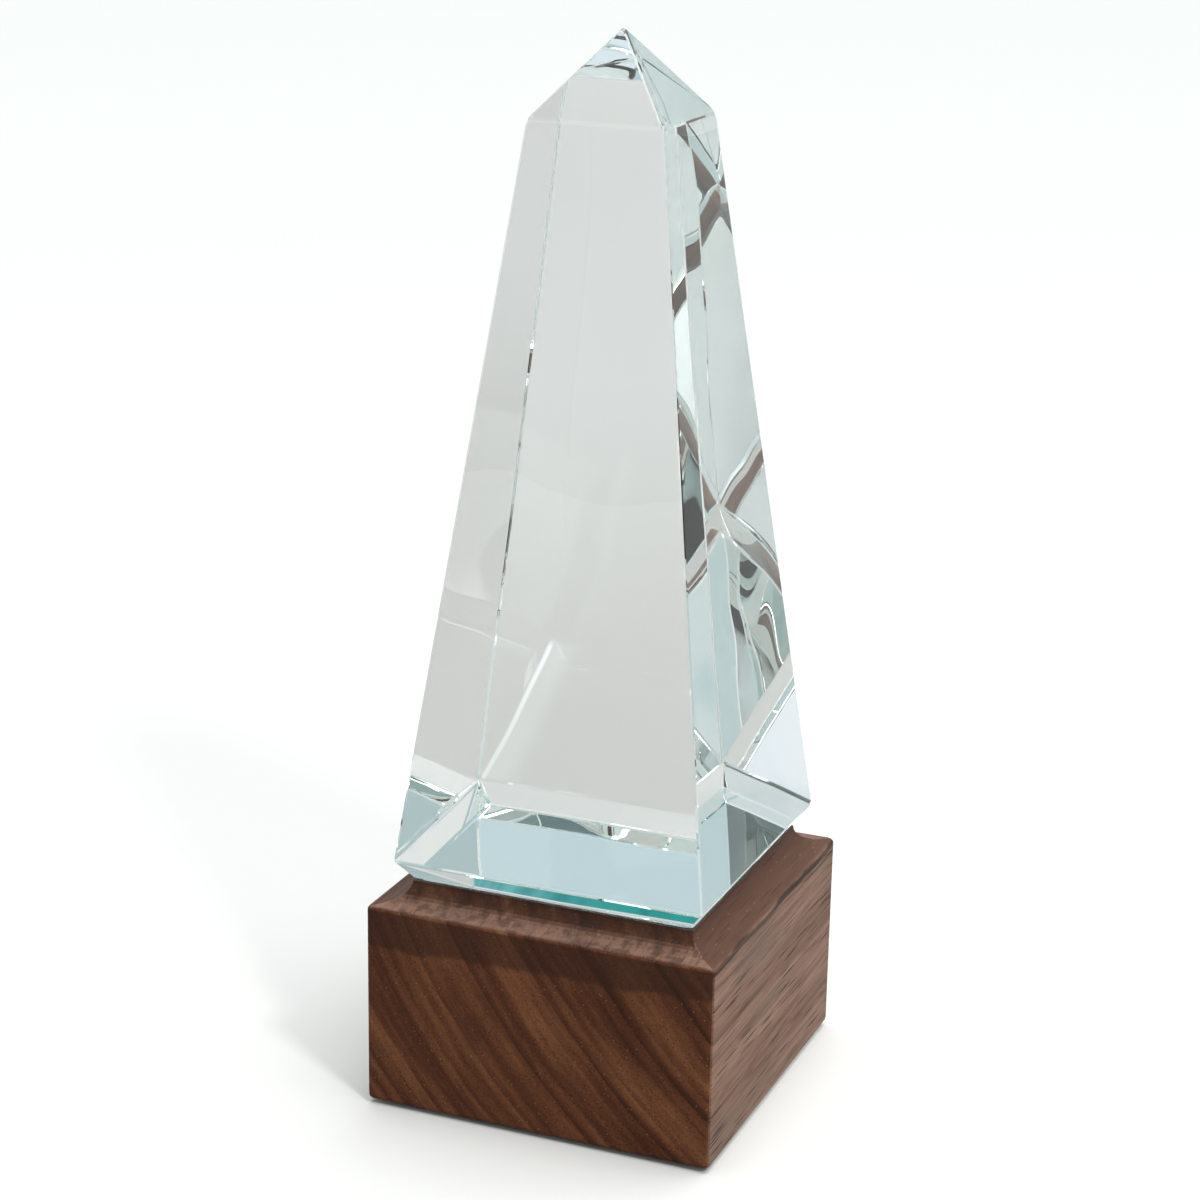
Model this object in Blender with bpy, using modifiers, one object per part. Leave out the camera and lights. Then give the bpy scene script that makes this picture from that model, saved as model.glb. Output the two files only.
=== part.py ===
"""Crystal award: a clear optical-glass obelisk standing on a solid walnut block.

Metres, +Z up, the front face looks toward -Y, the felt's underside is at z = 0.
"""
import math

import bmesh
import bpy

# ---- driving dimensions -------------------------------------------------
GAP = 0.0003                 # clearance left between pieces that touch

FELT_SIDE = 0.0660
FELT_THICK = 0.0007
FELT_CORNER = 0.0030

BASE_SIDE = 0.0762
BASE_HEIGHT = 0.0480
COVE_INSET = 0.0072          # from the side face in to the flat top
COVE_LAND = 0.0009           # rounded arris left between the cove and the side
COVE_DEPTH = 0.0042
BASE_ARRIS = 0.0009          # rounding round the foot of the block
UPRIGHT_ROUND = 0.0011       # radius of the four upright edges
MITRE_ROUND = 0.0004         # what is left of it where the cove meets the flat

SEAT_HALF = 0.0301           # half width of the shallow square seat in the flat top
SEAT_CORNER = 0.0020
SEAT_DEPTH = 0.0007
PAD_HALF = 0.0298            # white bonding pad that lies in the seat
PAD_CORNER = 0.0017
PAD_THICK = 0.0004

FOOT_HALF = 0.0306           # half width of the crystal's underside
GIRDLE_HALF = 0.0339         # half width at its widest line, above the foot
GIRDLE_RISE = 0.00435
SHOULDER_HALF = 0.0143       # half width where the sides meet the pyramid
SHOULDER_RISE = 0.1550
TIP_RISE = 0.1722
GLASS_ARRIS = 0.00050        # polished arris along every edge
POINT_CUT = 0.0013           # softening of the four shoulder points

# ---- heights that follow from them --------------------------------------
BASE_Z0 = FELT_THICK + GAP
BASE_Z1 = BASE_Z0 + BASE_HEIGHT
SEAT_Z = BASE_Z1 - SEAT_DEPTH
PAD_Z0 = SEAT_Z + GAP
GLASS_Z0 = PAD_Z0 + PAD_THICK + GAP


def clear_scene():
    for obj in list(bpy.data.objects):
        bpy.data.objects.remove(obj, do_unlink=True)
    for mesh in list(bpy.data.meshes):
        bpy.data.meshes.remove(mesh)


def make_collection(name):
    coll = bpy.data.collections.new(name)
    bpy.context.scene.collection.children.link(coll)
    return coll


def make_material(name, color, roughness, transmission=0.0, ior=1.5):
    mat = bpy.data.materials.new(name)
    mat.use_nodes = True
    shader = mat.node_tree.nodes["Principled BSDF"]
    shader.inputs["Base Color"].default_value = (*color, 1.0)
    shader.inputs["Roughness"].default_value = roughness
    shader.inputs["Transmission Weight"].default_value = transmission
    shader.inputs["IOR"].default_value = ior
    mat.diffuse_color = (*color, 1.0)
    return mat


def link_object(name, mesh, coll, mat=None):
    obj = bpy.data.objects.new(name, mesh)
    coll.objects.link(obj)
    if mat is not None:
        mesh.materials.append(mat)
    return obj


def stacked_rings(name, rings, close_bottom=True, tip=None):
    """A solid skinned through equal-count rings of points, foot first."""
    bm = bmesh.new()
    rows = [[bm.verts.new(co) for co in ring] for ring in rings]
    count = len(rows[0])
    for low, high in zip(rows, rows[1:]):
        for i in range(count):
            j = (i + 1) % count
            bm.faces.new((low[i], low[j], high[j], high[i]))
    if close_bottom:
        bm.faces.new(list(reversed(rows[0])))
    if tip is None:
        bm.faces.new(rows[-1])
    else:
        apex = bm.verts.new(tip)
        for i in range(count):
            bm.faces.new((rows[-1][i], rows[-1][(i + 1) % count], apex))
    bmesh.ops.recalc_face_normals(bm, faces=bm.faces[:])
    mesh = bpy.data.meshes.new(name)
    bm.to_mesh(mesh)
    bm.free()
    return mesh


def square_ring(half, z):
    return [(-half, -half, z), (half, -half, z), (half, half, z), (-half, half, z)]


def add_bevel(obj, width, segments, angle=None):
    mod = obj.modifiers.new("arris", "BEVEL")
    mod.width = width
    mod.segments = segments
    mod.limit_method = "ANGLE" if angle is not None else "NONE"
    if angle is not None:
        mod.angle_limit = math.radians(angle)
    mod.miter_outer = "MITER_SHARP"
    return mod


def shade_round(obj, sharp_angle=30.0):
    mesh = obj.data
    mesh.shade_smooth()
    mesh.set_sharp_from_angle(angle=math.radians(sharp_angle))


# ---- sub-parts ----------------------------------------------------------
def build_felt(coll):
    """Thin square of felt with rounded corners glued under the block."""
    half = FELT_SIDE / 2
    bm = bmesh.new()
    corners = [bm.verts.new(co) for co in square_ring(half, 0.0)]
    face = bm.faces.new(corners)
    bmesh.ops.bevel(
        bm,
        geom=list(face.verts),
        offset=FELT_CORNER,
        segments=6,
        profile=0.5,
        affect="VERTICES",
    )
    outline = bm.faces[:]
    grown = bmesh.ops.extrude_face_region(bm, geom=outline)
    lifted = [v for v in grown["geom"] if isinstance(v, bmesh.types.BMVert)]
    bmesh.ops.translate(bm, vec=(0.0, 0.0, FELT_THICK), verts=lifted)
    bmesh.ops.recalc_face_normals(bm, faces=bm.faces[:])
    mesh = bpy.data.meshes.new("felt_pad")
    bm.to_mesh(mesh)
    bm.free()
    mat = make_material("felt", (0.020, 0.020, 0.022), 0.95)
    return link_object("felt_pad", mesh, coll, mat)


def cove_profile():
    """Inset and height of the moulded top edge, from the side face to the flat."""
    points = []
    arris_steps = 4
    for i in range(arris_steps + 1):
        turn = math.radians(90.0 * i / arris_steps)
        inset = COVE_LAND * (1.0 - math.cos(turn))
        drop = COVE_DEPTH + COVE_LAND * (1.0 - math.sin(turn))
        points.append((inset, BASE_Z1 - drop))
    cove_steps = 9
    width = COVE_INSET - COVE_LAND
    for i in range(1, cove_steps + 1):
        turn = math.radians(90.0 * i / cove_steps)
        inset = COVE_LAND + width * math.sin(turn)
        rise = COVE_DEPTH * (1.0 - math.cos(turn))
        points.append((inset, BASE_Z1 - COVE_DEPTH + rise))
    return points


def rounded_ring(half, z, radius, steps=4):
    """Square ring whose corners turn on a small radius."""
    ring = []
    reach = half - radius
    for quarter, (sx, sy) in enumerate(((1, -1), (1, 1), (-1, 1), (-1, -1))):
        for i in range(steps + 1):
            turn = math.radians(-90.0 + 90.0 * quarter + 90.0 * i / steps)
            x = sx * reach + radius * math.cos(turn)
            y = sy * reach + radius * math.sin(turn)
            ring.append((x, y, z))
    return ring


def build_base(coll, cutters):
    """Solid block with a moulded cove round its top and a shallow square seat."""
    half = BASE_SIDE / 2
    rings = []
    foot_steps = 3
    for i in range(foot_steps + 1):
        turn = math.radians(90.0 * i / foot_steps)
        inset = BASE_ARRIS * (1.0 - math.sin(turn))
        rise = BASE_ARRIS * (1.0 - math.cos(turn))
        rings.append(rounded_ring(half - inset, BASE_Z0 + rise, UPRIGHT_ROUND))
    for inset, z in cove_profile():
        along = min(1.0, inset / COVE_INSET)
        radius = UPRIGHT_ROUND + (MITRE_ROUND - UPRIGHT_ROUND) * along
        rings.append(rounded_ring(half - inset, z, radius))
    mesh = stacked_rings("walnut_base", rings)
    mat = make_material("walnut", (0.105, 0.048, 0.028), 0.42)
    obj = link_object("walnut_base", mesh, coll, mat)

    sink = [
        rounded_ring(SEAT_HALF, SEAT_Z, SEAT_CORNER),
        rounded_ring(SEAT_HALF, BASE_Z1 + SEAT_DEPTH, SEAT_CORNER),
    ]
    cutter = link_object("cut_seat", stacked_rings("cut_seat", sink), cutters, mat)
    cutter.hide_render = True
    cutter.display_type = "WIRE"

    cut = obj.modifiers.new("seat", "BOOLEAN")
    cut.operation = "DIFFERENCE"
    cut.solver = "EXACT"
    cut.object = cutter
    shade_round(obj, 32.0)
    return obj


def build_pad(coll):
    """White double-sided bonding pad lying in the seat."""
    rings = [
        rounded_ring(PAD_HALF, PAD_Z0, PAD_CORNER),
        rounded_ring(PAD_HALF, PAD_Z0 + PAD_THICK, PAD_CORNER),
    ]
    mesh = stacked_rings("bonding_pad", rings)
    mat = make_material("white_bonding_tape", (0.86, 0.87, 0.86), 0.55)
    obj = link_object("bonding_pad", mesh, coll, mat)
    shade_round(obj)
    return obj


def build_crystal(coll):
    """Square obelisk: undercut foot, tapering sides, four-sided point."""
    rings = [
        square_ring(FOOT_HALF, GLASS_Z0),
        square_ring(GIRDLE_HALF, GLASS_Z0 + GIRDLE_RISE),
        square_ring(SHOULDER_HALF, GLASS_Z0 + SHOULDER_RISE),
    ]
    mesh = stacked_rings("crystal_obelisk", rings, tip=(0.0, 0.0, GLASS_Z0 + TIP_RISE))
    mat = make_material("optical_crystal", (0.97, 0.99, 0.985), 0.0, 1.0, 1.52)
    obj = link_object("crystal_obelisk", mesh, coll, mat)

    points = obj.vertex_groups.new(name="shoulder_points")
    level = GLASS_Z0 + SHOULDER_RISE
    chosen = [v.index for v in mesh.vertices if abs(v.co.z - level) < 1e-5]
    points.add(chosen, 1.0, "REPLACE")
    soften = obj.modifiers.new("points", "BEVEL")
    soften.affect = "VERTICES"
    soften.width = POINT_CUT
    soften.segments = 1
    soften.limit_method = "VGROUP"
    soften.vertex_group = "shoulder_points"
    add_bevel(obj, GLASS_ARRIS, 2, angle=14.0)
    return obj


def main():
    clear_scene()
    coll = make_collection("crystal_award")
    cutters = make_collection("cutters")
    build_felt(coll)
    build_base(coll, cutters)
    build_pad(coll)
    build_crystal(coll)


main()
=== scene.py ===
import math

import bpy
from mathutils import Matrix, Vector


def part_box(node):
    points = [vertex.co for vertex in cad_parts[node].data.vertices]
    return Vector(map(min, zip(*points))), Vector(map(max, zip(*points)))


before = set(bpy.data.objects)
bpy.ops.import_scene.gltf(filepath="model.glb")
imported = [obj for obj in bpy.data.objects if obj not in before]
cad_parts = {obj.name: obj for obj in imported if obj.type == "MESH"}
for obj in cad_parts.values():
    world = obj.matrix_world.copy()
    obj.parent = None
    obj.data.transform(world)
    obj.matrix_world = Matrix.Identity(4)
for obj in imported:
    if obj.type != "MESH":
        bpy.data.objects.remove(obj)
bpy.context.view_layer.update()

scene = bpy.context.scene


# ---------------------------------------------------------------- directions and colours
def direction(azimuth, elevation):
    """Unit vector: azimuth 0 looks along +Y and turns towards +X, elevation up from the horizon."""
    a, e = math.radians(azimuth), math.radians(elevation)
    return Vector((math.sin(a) * math.cos(e), math.cos(a) * math.cos(e), math.sin(e)))


def rgb(r, g, b):
    """A colour given as linear light."""
    return (r, g, b, 1.0)


def srgb(r, g, b):
    """A colour given as 0-255 screen values, as linear light."""
    values = []
    for v in (r, g, b):
        v = v / 255.0
        values.append(v / 12.92 if v <= 0.04045 else ((v + 0.055) / 1.055) ** 2.4)
    return (*values, 1.0)


# ---------------------------------------------------------------- node helpers
class Tree:
    """Short names for the shader nodes; most calls add one node and return its output."""

    def __init__(self, tree):
        self.tree = tree
        tree.nodes.clear()

    def node(self, kind, **settings):
        made = self.tree.nodes.new(kind)
        for key, value in settings.items():
            setattr(made, key, value)
        return made

    def put(self, socket, value):
        """Link another node's output to a socket, or set the socket's own value."""
        if isinstance(value, bpy.types.NodeSocket):
            self.tree.links.new(value, socket)
        elif value is not None:
            socket.default_value = value

    # where the shaded point is
    def position(self):
        """The point's place on its object, in metres."""
        return self.node("ShaderNodeTexCoord").outputs["Object"]

    def normal(self):
        return self.node("ShaderNodeNewGeometry").outputs["Normal"]

    def camera_ray(self):
        return self.node("ShaderNodeLightPath").outputs["Is Camera Ray"]

    # arithmetic
    def math(self, operation, a, b=None, clamp=False):
        n = self.node("ShaderNodeMath", operation=operation, use_clamp=clamp)
        for socket, value in zip(n.inputs, (a, b)):
            self.put(socket, value)
        return n.outputs[0]

    def plus(self, a, b, clamp=False):
        return self.math("ADD", a, b, clamp)

    def minus(self, a, b, clamp=False):
        return self.math("SUBTRACT", a, b, clamp)

    def times(self, a, b):
        return self.math("MULTIPLY", a, b)

    def size(self, a):
        return self.math("ABSOLUTE", a)

    def vec(self, operation, a, b=None, scale=None):
        n = self.node("ShaderNodeVectorMath", operation=operation)
        self.put(n.inputs[0], a)
        self.put(n.inputs[1], b)
        if scale is not None:
            self.put(n.inputs["Scale"], scale)
        return n.outputs["Value" if operation in ("DOT_PRODUCT", "LENGTH") else 0]

    def stretched(self, vector, *factors):
        """A vector with each part multiplied; a small factor draws a pattern out that way."""
        return self.vec("MULTIPLY", vector, factors)

    def xyz(self, x, y, z):
        n = self.node("ShaderNodeCombineXYZ")
        for socket, value in zip(n.inputs, (x, y, z)):
            self.put(socket, value)
        return n.outputs[0]

    def split(self, vector):
        n = self.node("ShaderNodeSeparateXYZ")
        self.put(n.inputs[0], vector)
        return n.outputs

    def ramp(self, value, low, high, out_low=0.0, out_high=1.0, smooth=True):
        """`out_low` up to `low`, `out_high` from `high` on, and a slope between them."""
        n = self.node("ShaderNodeMapRange", clamp=True)
        n.interpolation_type = "SMOOTHSTEP" if smooth else "LINEAR"
        for name, v in (
            ("Value", value), ("From Min", low), ("From Max", high),
            ("To Min", out_low), ("To Max", out_high),
        ):
            self.put(n.inputs[name], v)
        return n.outputs["Result"]

    # colour
    def mix(self, factor, a, b, blend="MIX"):
        n = self.node("ShaderNodeMix", data_type="RGBA", blend_type=blend)
        self.put(n.inputs["Factor"], factor)
        self.put(n.inputs["A"], a)
        self.put(n.inputs["B"], b)
        return n.outputs["Result"]

    def colors(self, value, *stops):
        """Colour ramp through (position, colour) stops."""
        n = self.node("ShaderNodeValToRGB")
        band = n.color_ramp.elements
        while len(band) < len(stops):
            band.new(0.5)
        for element, (place, color) in zip(band, stops):
            element.position = place
            element.color = color
        self.put(n.inputs["Fac"], value)
        return n.outputs["Color"]

    # patterns
    def noise(self, vector, scale, detail=2.0, roughness=0.5, output="Fac"):
        n = self.node("ShaderNodeTexNoise", noise_dimensions="3D")
        self.put(n.inputs["Vector"], vector)
        n.inputs["Scale"].default_value = scale
        n.inputs["Detail"].default_value = detail
        n.inputs["Roughness"].default_value = roughness
        return n.outputs[output]

    def dots(self, vector, scale, core, rim):
        """Scattered dots: 1 within `core` of a cell's centre, 0 beyond `rim`."""
        n = self.node("ShaderNodeTexVoronoi", voronoi_dimensions="3D", feature="F1")
        self.put(n.inputs["Vector"], vector)
        n.inputs["Scale"].default_value = scale
        return self.ramp(n.outputs["Distance"], core, rim, 1.0, 0.0)

    def random(self, value):
        """A random number for each whole value."""
        n = self.node("ShaderNodeTexWhiteNoise", noise_dimensions="1D")
        self.put(n.inputs["W"], value)
        return n.outputs["Value"]

    def bump(self, height, strength, distance):
        n = self.node("ShaderNodeBump")
        n.inputs["Strength"].default_value = strength
        n.inputs["Distance"].default_value = distance
        self.put(n.inputs["Height"], height)
        return n.outputs[0]

    # ends of the tree
    def surface(self, sockets, volume=None):
        """A Principled shader with these sockets, wired to the material's output."""
        shader = self.node("ShaderNodeBsdfPrincipled")
        for name, value in sockets.items():
            self.put(shader.inputs[name], value)
        out = self.node("ShaderNodeOutputMaterial")
        self.put(out.inputs["Surface"], shader.outputs[0])
        self.put(out.inputs["Volume"], volume)


def new_material(name):
    mat = bpy.data.materials.new(name)
    mat.use_nodes = True
    return mat, Tree(mat.node_tree)


# ---------------------------------------------------------------- camera
CAM_AZ, CAM_EL, CAM_ROLL = 22.15, 17.41, 1.0      # degrees: to the right of the front, up, tilt
CAM_DIST, CAM_LENS = 0.5938, 86.37                # metres, millimetres
CAM_AIM = Vector((-0.0029, 0.0, 0.1045))


def add_camera():
    back = direction(180.0 - CAM_AZ, CAM_EL)
    right = direction(90.0 - CAM_AZ, 0.0)
    up = back.cross(right)
    roll = math.radians(CAM_ROLL)
    cam_x = right * math.cos(roll) + up * math.sin(roll)
    cam_y = up * math.cos(roll) - right * math.sin(roll)
    place = Matrix((cam_x, cam_y, back)).transposed().to_4x4()
    place.translation = CAM_AIM + back * CAM_DIST

    data = bpy.data.cameras.new("camera")
    data.lens = CAM_LENS
    data.sensor_width = 36.0
    data.clip_start = 0.01
    data.clip_end = 60.0
    cam = bpy.data.objects.new("camera", data)
    cam.matrix_world = place
    scene.collection.objects.link(cam)
    scene.camera = cam


add_camera()
scene.view_settings.view_transform = "Standard"
scene.view_settings.look = "None"

# light crosses the solid glass many times before it leaves
scene.cycles.max_bounces = 32
scene.cycles.transmission_bounces = 28
scene.cycles.glossy_bounces = 16
scene.cycles.diffuse_bounces = 4
scene.cycles.transparent_max_bounces = 16
scene.cycles.caustics_refractive = True
scene.cycles.caustics_reflective = True
scene.cycles.sample_clamp_indirect = 6.0

# ---------------------------------------------------------------- floor
FLOOR_HALF = 4.0
FLOOR_COLOR = rgb(0.640, 0.615, 0.600)            # what the camera sees

# what the glass sees is greyer, with painted shade darkening it near the award
GREY_FAR, GREY_NEAR = rgb(0.455, 0.441, 0.434), rgb(0.370, 0.354, 0.342)
NEAR_RADIUS, FAR_RADIUS = 0.12, 0.40
# it is also a little darker towards the right
DIM_FROM, DIM_TO, DIMMED = 0.012, 0.055, 0.91
# and has a dark patch at the right that the foot's right face reflects
PATCH_PLACE = (0.128, 0.165, 0.0)
PATCH_CORE, PATCH_RIM = 0.048, 0.068
PATCH_COLOR = rgb(0.130, 0.175, 0.175)

# painted light: the narrow wedge of light that the crystal throws on the floor behind it, painted into
# the floor's colour
STREAK_FOOT, STREAK_TIP = Vector((-0.0735, 0.108, 0)), Vector((-0.0875, 0.1845, 0))
STREAK_BOW = 0.0014                               # bent sideways, so the glass shows it straight
STREAK_COLOR = rgb(0.600, 0.600, 0.600)
LINE_CORE, LINE_EDGE = 0.0003, 0.0011             # half widths of the fine line
WEDGE_STRENGTH = 0.16                             # the faint wedge beside the fine line


def painted_light_streak(t, co):
    """How much of the painted streak of light is at a point: a fine line and the wedge beside it."""
    length = (STREAK_TIP - STREAK_FOOT).length
    run = (STREAK_TIP - STREAK_FOOT).normalized()
    from_tip = t.vec("SUBTRACT", co, tuple(STREAK_TIP))
    along = t.times(t.vec("DOT_PRODUCT", from_tip, tuple(run)), -1.0)
    across = t.vec("DOT_PRODUCT", from_tip, (run.y, -run.x, 0.0))
    bow = t.times(along, t.minus(length, along))
    across = t.minus(across, t.times(bow, 4.0 * STREAK_BOW / length ** 2))

    line = t.ramp(t.size(across), LINE_CORE, LINE_EDGE, 1.0, 0.0)
    line = t.times(line, t.ramp(along, 0.0, 0.070, 1.0, 0.55))
    wedge = t.times(t.ramp(across, -0.0010, 0.0006), t.ramp(across, 0.004, 0.011, 1.0, 0.0))
    reach = t.times(t.ramp(along, 0.0, 0.006), t.ramp(along, 0.068, 0.084, 1.0, 0.0))
    return t.times(reach, t.math("MAXIMUM", line, t.times(wedge, WEDGE_STRENGTH)))


def floor_seen_in_glass(t, co):
    # painted shade: the grey is darker near the award
    near = t.ramp(t.vec("LENGTH", co), NEAR_RADIUS, FAR_RADIUS, 1.0, 0.0)
    grey = t.mix(near, GREY_FAR, GREY_NEAR)
    dimmer = t.ramp(t.split(co)[0], DIM_FROM, DIM_TO, 1.0, DIMMED)
    grey = t.mix(1.0, grey, t.xyz(dimmer, dimmer, dimmer), "MULTIPLY")
    aside = t.vec("LENGTH", t.vec("SUBTRACT", co, PATCH_PLACE))
    grey = t.mix(t.ramp(aside, PATCH_CORE, PATCH_RIM, 1.0, 0.0), grey, PATCH_COLOR)
    # the painted streak of light goes over the floor's grey
    return t.mix(painted_light_streak(t, co), grey, STREAK_COLOR)


def floor_material():
    mat, t = new_material("floor_paper")
    co = t.position()
    t.surface({
        "Base Color": t.mix(t.camera_ray(), floor_seen_in_glass(t, co), FLOOR_COLOR),
        "Roughness": 0.9,
        "Specular IOR Level": 0.2,
        "Normal": t.bump(t.noise(co, 900.0, 3.0), strength=0.05, distance=0.0002),
    })
    return mat


def add_floor():
    corners = [(x * FLOOR_HALF, y * FLOOR_HALF, 0) for x, y in ((-1, -1), (1, -1), (1, 1), (-1, 1))]
    mesh = bpy.data.meshes.new("floor")
    mesh.from_pydata(corners, [], [(0, 1, 2, 3)])
    mesh.materials.append(floor_material())
    floor = bpy.data.objects.new("floor", mesh)
    scene.collection.objects.link(floor)


add_floor()

# ---------------------------------------------------------------- studio surroundings
# heights in the world are sines of the elevation
WALL_FOOT, WALL_START = 0.195, 0.265
CEILING_EDGE, CEILING_START = 0.50, 0.64

LOW_WHITE = rgb(0.82, 0.84, 0.83)
WALL_GREY = rgb(0.555, 0.710, 0.750)
SHADED_WALL = rgb(0.41, 0.54, 0.55)
CEILING = rgb(0.76, 0.83, 0.84)
BACKDROP = rgb(1.0, 1.0, 1.0)                     # what the camera sees

# parts of the room: azimuth, elevation, radius of the even part, radius where it ends, all in degrees
WALL_SHADE = (28, 18, 8, 36)
SKIRTING, SKIRTING_MIDDLE = (-17, 0, 8, 10), (-17, 0, 2, 6)
# and with the part's colour
SIDE_WALL = (60, 37, 8, 15, rgb(0.12, 0.15, 0.15))
ROOM_PATCHES = (
    (-39, 32, 5, 10, rgb(0.14, 0.21, 0.23)),      # a dark opening high on the left
    (-33, 22, 3, 6, rgb(0.74, 0.83, 0.87)),       # a pale panel under it
    (46.5, 10.8, 2, 4, rgb(0.20, 0.30, 0.30)),    # a small dark corner low on the right
    (45, 78, 18, 32, rgb(5.0, 5.2, 5.2)),         # the broad soft box overhead
    (-178, 65, 4, 8, rgb(0.22, 0.32, 0.32)),      # a dark part of the ceiling towards the front
)
FRONT_PATCHES = (
    (206, 8, 18, 23, rgb(0.050, 0.065, 0.060)),   # an unlit part of the room, low on the front left
    (179, 9, 5, 10, rgb(0.90, 1.00, 1.10)),       # a bright gap at its right end
    (203, 34, 13, 18, rgb(0.70, 0.76, 0.77)),     # a window above it
    (203, 32, 4.5, 8, rgb(0.92, 0.99, 1.05)),     # the window's brighter middle
)


class Room:
    """The world's colour, built up from smooth areas in fixed directions of the room."""

    def __init__(self, t):
        self.t = t
        self.ray = t.node("ShaderNodeTexCoord").outputs["Generated"]
        self.height = t.split(self.ray)[2]

    def lobe(self, az, el, inner, outer):
        """1 inside `inner` degrees of a direction, fading to 0 at `outer` degrees."""
        cosine = self.t.vec("DOT_PRODUCT", self.ray, tuple(direction(az, el)))
        return self.t.ramp(cosine, math.cos(math.radians(outer)), math.cos(math.radians(inner)))

    def patched(self, color, *patches):
        for az, el, inner, outer, tint in patches:
            color = self.t.mix(self.lobe(az, el, inner, outer), color, tint)
        return color

    def walls(self):
        """White low down, a cool grey wall above it that is shaded behind the award, a paler ceiling."""
        t = self.t
        above = t.ramp(self.height, WALL_FOOT, WALL_START)
        wall = t.mix(above, LOW_WHITE, WALL_GREY)
        wall = t.mix(t.times(self.lobe(*WALL_SHADE), above), wall, SHADED_WALL)
        wall = self.patched(wall, SIDE_WALL)
        return t.mix(t.ramp(self.height, CEILING_EDGE, CEILING_START), wall, CEILING)

    def skirting(self, wall):
        """A strip of blue-green at the foot of the far wall, uneven and paler at its ends."""
        t = self.t
        ragged = t.noise(t.stretched(self.ray, 1.0, 1.0, 0.3), 110.0, 3.0)
        foot = t.plus(self.height, t.times(t.minus(ragged, 0.5), 0.012))
        strip = t.times(self.lobe(*SKIRTING), t.ramp(foot, 0.020, 0.026, 1.0, 0.0))
        teal = t.mix(self.lobe(*SKIRTING_MIDDLE), rgb(0.20, 0.58, 0.62), rgb(0.035, 0.40, 0.38))
        teal = t.mix(t.ramp(ragged, 0.35, 0.60, 0.6, 0.0), teal, rgb(0.02, 0.25, 0.27))
        return t.mix(strip, wall, teal)

    def color(self):
        far_side = self.skirting(self.patched(self.walls(), *ROOM_PATCHES))
        return self.patched(far_side, *FRONT_PATCHES)


def add_world():
    """The room lights the scene and shows in the glass; the camera itself sees plain white."""
    world = bpy.data.worlds.new("studio")
    scene.world = world
    world.use_nodes = True
    t = Tree(world.node_tree)
    pick = t.node("ShaderNodeMixShader")
    t.put(pick.inputs[0], t.camera_ray())
    for socket, color in ((pick.inputs[1], Room(t).color()), (pick.inputs[2], BACKDROP)):
        background = t.node("ShaderNodeBackground")
        background.inputs["Strength"].default_value = 1.0
        t.put(background.inputs["Color"], color)
        t.put(socket, background.outputs[0])
    out = t.node("ShaderNodeOutputWorld")
    t.put(out.inputs["Surface"], pick.outputs[0])


add_world()


KEY_AZ, KEY_EL, KEY_DIST = 126, 43, 1.3           # degrees and metres, from the point it is aimed at
KEY_AIM = Vector((0.0, 0.0, 0.1))
KEY_SIZE, KEY_WATTS = 0.16, 8.0


def add_key_light():
    """One soft lamp on the front right, for the shadow and the light on the block's right side."""
    data = bpy.data.lights.new("key_soft", "AREA")
    data.shape = "SQUARE"
    data.size = KEY_SIZE
    data.energy = KEY_WATTS
    data.color = (1.0, 0.99, 0.97)
    lamp = bpy.data.objects.new("key_soft", data)
    lamp.location = KEY_AIM + direction(KEY_AZ, KEY_EL) * KEY_DIST
    lamp.rotation_euler = (KEY_AIM - lamp.location).to_track_quat("-Z", "Y").to_euler()
    scene.collection.objects.link(lamp)


add_key_light()

# ---------------------------------------------------------------- crystal
WAVE_SCALE, WAVE_TILT = 28.0, 0.035               # the polished faces are very slightly wavy
GLASS_IOR = 1.52
GLASS_CAST, GLASS_DENSITY = rgb(0.47, 0.58, 0.50), 1.9


def crystal_material():
    mat, t = new_material("optical_crystal")
    wave = t.noise(t.position(), WAVE_SCALE, 1.0, output="Color")
    wave = t.vec("SUBTRACT", wave, (0.5, 0.5, 0.5))
    wave = t.vec("SCALE", wave, scale=WAVE_TILT)
    inside = t.node("ShaderNodeVolumeAbsorption")
    inside.inputs["Color"].default_value = GLASS_CAST
    inside.inputs["Density"].default_value = GLASS_DENSITY
    t.surface({
        "Base Color": rgb(1, 1, 1),
        "Roughness": 0.0,
        "IOR": GLASS_IOR,
        "Transmission Weight": 1.0,
        "Normal": t.vec("NORMALIZE", t.vec("ADD", t.normal(), wave)),
    }, volume=inside.outputs[0])
    return mat


# ---------------------------------------------------------------- walnut
# The grain runs front to back (Y): end grain on the front and back, long grain on the sides.
RING_X, RING_Z = 0.150, 0.140                     # the tree's heart, off to the upper right of the block
RING_STEP = 0.0031
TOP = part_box("walnut_base")[1].z
SHOULDER = TOP - 0.0051                           # the foot of the moulding

END_TONES = (
    (0.00, srgb(54, 29, 18)), (0.35, srgb(77, 43, 28)),
    (0.65, srgb(99, 60, 39)), (1.00, srgb(125, 81, 54)),
)
SIDE_TONES = (
    (0.00, srgb(97, 70, 58)), (0.35, srgb(121, 90, 76)),
    (0.65, srgb(139, 107, 91)), (1.00, srgb(157, 125, 108)),
)


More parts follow.
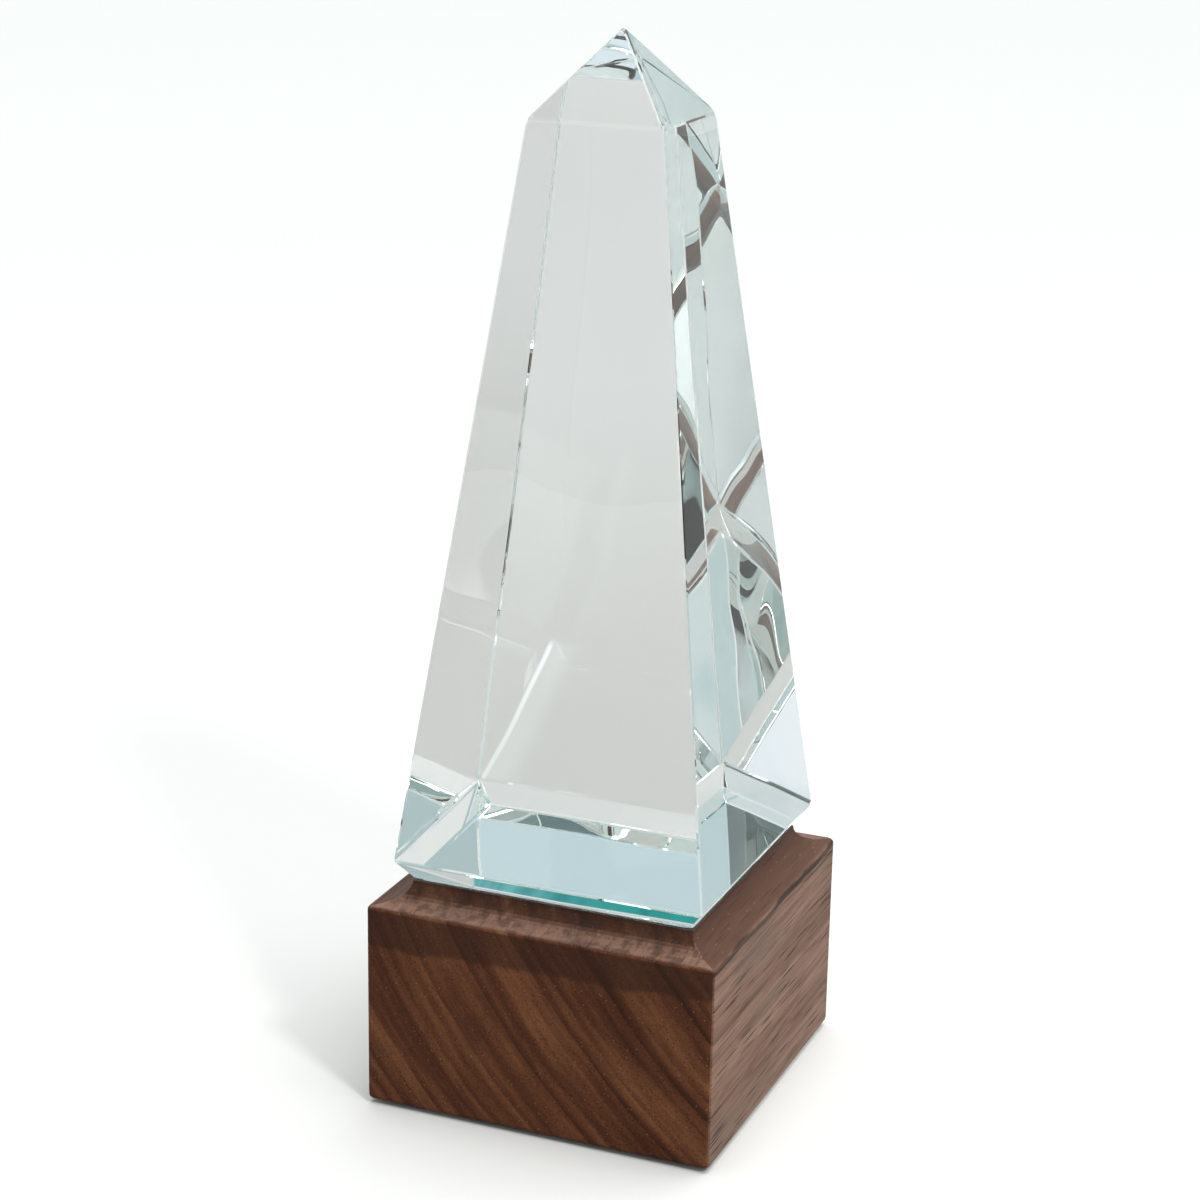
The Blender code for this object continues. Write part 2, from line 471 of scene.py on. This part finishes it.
class Walnut:
    """One solid block: the pattern runs through it, and each face shows its own cut of it."""

    def __init__(self):
        self.mat, self.t = new_material("walnut")
        t = self.t
        self.co = t.position()
        self.x, self.y, self.z = t.split(self.co)
        _, facing_y, self.facing_up = t.split(t.normal())
        # 1 on the faces that show it, 0 elsewhere
        self.end_grain = t.ramp(t.size(facing_y), 0.35, 0.75)
        self.on_side = t.ramp(t.minus(t.size(self.x), t.size(self.y)), -0.0002, 0.0002)
        self.moulded = t.ramp(self.z, SHOULDER + 0.0002, SHOULDER + 0.0010)
        self.rings()
        self.grain()
        self.pores()

    def rings(self):
        """Growth rings: soft start, dark late wood, sharp end, each ring with its own strength."""
        t = self.t
        dx = t.minus(self.x, RING_X)
        dz = t.minus(self.z, RING_Z)
        drift = t.noise(t.xyz(self.x, t.times(self.y, 0.12), self.z), 15.0, 2.0)
        radius = t.math("SQRT", t.plus(t.times(dx, dx), t.times(dz, dz)))
        self.radius = t.plus(radius, t.times(t.minus(drift, 0.5), 0.0070))
        self.around = t.times(t.math("ARCTAN2", dz, dx), 0.19)
        turns = t.math("DIVIDE", self.radius, RING_STEP)
        part = t.math("FRACT", turns)
        strength = t.ramp(t.random(t.math("FLOOR", turns)), 0.1, 0.9, 0.15, 1.0, smooth=False)
        late = t.times(t.ramp(part, 0.30, 0.92), t.ramp(part, 0.93, 1.0, 1.0, 0.0))
        self.late = t.times(late, strength)

    def along_rings(self, across, tangent, length, detail, roughness=0.5):
        """Noise drawn out along the rings and along the grain; scales in cycles per metre."""
        t = self.t
        place = t.xyz(
            t.times(self.radius, across), t.times(self.y, length), t.times(self.around, tangent)
        )
        return t.noise(place, 1.0, detail, roughness)

    def grain(self):
        """`tone` from dark to pale; along the grain the rings show less and the long fibres more."""
        t = self.t
        broad = self.along_rings(150.0, 18.0, 6.0, 2.0)
        streak = self.along_rings(560.0, 60.0, 16.0, 3.0, 0.6)
        self.fibre = t.noise(t.stretched(self.co, 1.0, 0.10, 1.0), 2300.0, 3.0, 0.7)
        self.thread = t.noise(t.stretched(self.co, 1.0, 0.022, 1.0), 1300.0, 3.0, 0.65)
        tone = t.times(t.ramp(broad, 0.30, 0.70), 0.44)
        tone = t.plus(tone, t.times(t.ramp(streak, 0.30, 0.70), 0.24))
        tone = t.plus(tone, t.times(t.ramp(self.fibre, 0.30, 0.70, smooth=False), 0.26))
        tone = t.plus(tone, 0.10)
        self.tone = t.minus(tone, t.times(self.late, 0.32), clamp=True)
        lines = t.times(t.ramp(self.thread, 0.30, 0.70), 0.52)
        self.lines = t.plus(lines, t.times(self.tone, 0.48), clamp=True)

    def pores(self):
        """Dots on the end grain, short dark dashes on the long grain, and some pale flecks that are
        painted glints of the finish.
        """
        t = self.t
        pore = t.dots(t.stretched(self.co, 1.0, 0.045, 1.0), 1500.0, 0.14, 0.40)
        patch = t.ramp(self.along_rings(330.0, 120.0, 26.0, 2.0), 0.38, 0.66)
        self.pore = t.times(pore, t.ramp(patch, 0.0, 1.0, 0.40, 1.0))
        self.glint = t.dots(t.stretched(self.co, 1.0, 0.3, 1.0), 700.0, 0.07, 0.13)

    def end_color(self):
        t = self.t
        color = t.colors(self.tone, *END_TONES)
        color = t.mix(t.times(self.pore, 0.62), color, srgb(36, 21, 15))
        # pale flecks: painted glints of the finish
        return t.mix(t.times(self.glint, 0.46), color, srgb(152, 114, 86))

    def side_color(self):
        """Greyer than the end grain; the cutter left the moulding smooth, with a few pale flecks painted
        as glints of the finish.
        """
        t = self.t
        color = t.colors(self.lines, *SIDE_TONES)
        grey = t.ramp(t.noise(t.stretched(self.co, 1.0, 0.25, 1.0), 75.0, 3.0), 0.48, 0.68)
        color = t.mix(t.times(grey, 0.50), color, srgb(106, 90, 81))
        color = t.mix(t.times(self.pore, 0.92), color, srgb(54, 39, 33))
        smooth_cut = t.times(self.moulded, t.ramp(self.on_side, 0.0, 1.0, 0.55, 0.92))
        cut_color = t.mix(self.on_side, srgb(105, 76, 63), srgb(78, 52, 41))
        color = t.mix(smooth_cut, color, cut_color)
        # painted glints of the finish on the moulding
        glints = t.times(t.times(self.glint, self.moulded), 0.30)
        color = t.mix(glints, color, srgb(150, 124, 108))
        # a dark line along the foot of the moulding
        return t.mix(t.times(self.dark_line(), 0.94), color, srgb(42, 29, 24))

    def dark_line(self):
        """A dark line along the foot of the moulding on the sides, double at the back."""
        t = self.t
        wander = t.times(t.noise(t.xyz(0.0, self.y, 0.0), 60.0, 3.0), 0.0026)
        above = t.minus(self.z, t.minus(SHOULDER + 0.0011, wander))
        main = t.ramp(t.size(above), 0.0004, 0.0010, 1.0, 0.0)
        second = t.ramp(t.size(t.plus(above, 0.0017)), 0.0001, 0.0005, 0.8, 0.0)
        second = t.times(second, t.ramp(self.y, -0.010, 0.020))
        dark_line = t.math("MAXIMUM", main, second)
        dark_line = t.times(dark_line, t.ramp(self.thread, 0.42, 0.62, 1.0, 0.70))
        return t.times(dark_line, self.on_side)

    def scorch(self):
        """Upright scorch marks on the end-grain part of the moulding."""
        t = self.t
        marks = t.noise(t.xyz(self.x, self.y, t.times(self.z, 0.2)), 420.0, 3.0)
        marks = t.times(t.ramp(marks, 0.44, 0.66), self.moulded)
        return t.times(marks, t.minus(1.0, self.on_side))

    def top_dark_band(self):
        """The top of the end grain is darker, with a wandering lower edge."""
        t = self.t
        wander = t.times(t.noise(t.xyz(self.x, 0.0, 0.0), 90.0, 3.0), 0.0042)
        edge = t.minus(SHOULDER - 0.0052, t.plus(t.times(self.x, -0.022), wander))
        darker_part = t.ramp(t.minus(self.z, edge), -0.0005, 0.0010)
        below_moulding = t.ramp(self.z, SHOULDER, SHOULDER + 0.0004, 1.0, 0.0)
        return t.times(t.times(darker_part, self.end_grain), below_moulding)

    def shaded_flat_top(self):
        """The flat top under the glass, painted darker and greyer as shade under the glass."""
        t = self.t
        facing_up = t.ramp(self.facing_up, 0.90, 0.98)
        return t.times(facing_up, t.ramp(self.z, TOP - 0.0009, TOP - 0.0008))

    def color(self):
        t = self.t
        wood = t.mix(self.end_grain, self.side_color(), self.end_color())
        # painted shade: the end-grain part of the moulding is painted darker, as shade under the glass
        moulding_shade = t.times(t.times(self.moulded, self.end_grain), 0.5)
        wood = t.mix(moulding_shade, wood, srgb(50, 37, 32))
        wood = t.mix(t.times(self.scorch(), 0.55), wood, srgb(46, 32, 27))
        # painted shade on the flat top under the glass
        wood = t.mix(self.shaded_flat_top(), wood, srgb(74, 68, 63))
        # a darker band along the top of the end grain, with a wandering lower edge
        return t.mix(t.times(self.top_dark_band(), 0.62), wood, srgb(48, 28, 22))

    def finished(self):
        """A low satin finish with open pores."""
        t = self.t
        relief = t.minus(t.times(self.fibre, 0.5), self.pore)
        t.surface({
            "Base Color": self.color(),
            "Roughness": t.plus(t.ramp(self.tone, 0.0, 1.0, 0.46, 0.38), t.times(self.pore, 0.2)),
            "Specular IOR Level": 0.08,
            "Normal": t.bump(relief, strength=0.35, distance=0.00012),
        })
        return self.mat


# ---------------------------------------------------------------- felt and pad
def felt_material():
    mat, t = new_material("felt")
    fibre = t.noise(t.position(), 2500.0, 3.0)
    t.surface({
        "Base Color": t.mix(fibre, rgb(0.008, 0.008, 0.009), rgb(0.035, 0.035, 0.038)),
        "Roughness": 0.95,
    })
    return mat


def bond_material():
    mat, t = new_material("white_bond")
    speck = t.noise(t.position(), 260.0, 3.0)
    t.surface({
        "Base Color": t.mix(speck, rgb(0.94, 0.97, 0.99), rgb(0.97, 0.99, 1.00)),
        "Roughness": 0.6,
        "Sheen Weight": 1.0,
        "Sheen Roughness": 0.4,
    })
    return mat


for node, material in (
    ("crystal_obelisk", crystal_material()),
    ("walnut_base", Walnut().finished()),
    ("felt_pad", felt_material()),
    ("bonding_pad", bond_material()),
):
    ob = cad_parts[node]
    ob.data.materials.clear()
    ob.data.materials.append(material)
